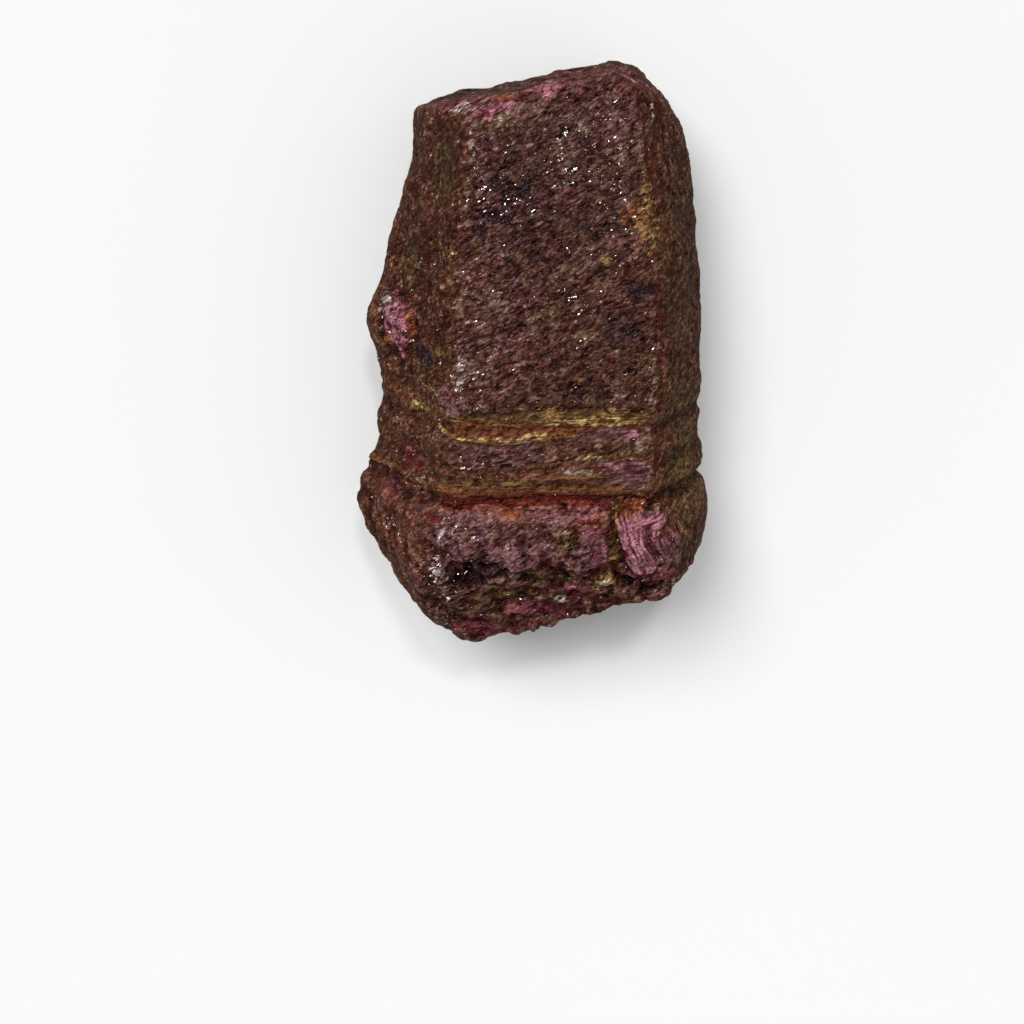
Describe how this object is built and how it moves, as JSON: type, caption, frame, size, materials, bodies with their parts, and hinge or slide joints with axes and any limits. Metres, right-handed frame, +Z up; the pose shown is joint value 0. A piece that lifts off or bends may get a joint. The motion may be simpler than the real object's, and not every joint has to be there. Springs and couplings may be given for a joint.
{
  "type": "raw ruby crystal",
  "caption": "Rough tapered six-sided ruby crystal with cross partings and a wider broken foot, lying on its flat back face.",
  "frame": {"origin": "middle of the crystal's bounding box, at the height of the flat back face that it rests on", "axes": "+Y along the crystal towards its termination, with the broken foot at -Y; +Z up out of the widest face; +X to the right of a viewer who looks down on that face with the termination at the top"},
  "size_m": [0.057, 0.09, 0.043],
  "materials": {
    "corundum": "rough dark maroon-brown grain with small bright facets, pink and ochre patches"
  },
  "bodies": {
    "root": {"ruby_crystal": "corundum"}
  },
  "joints": []
}
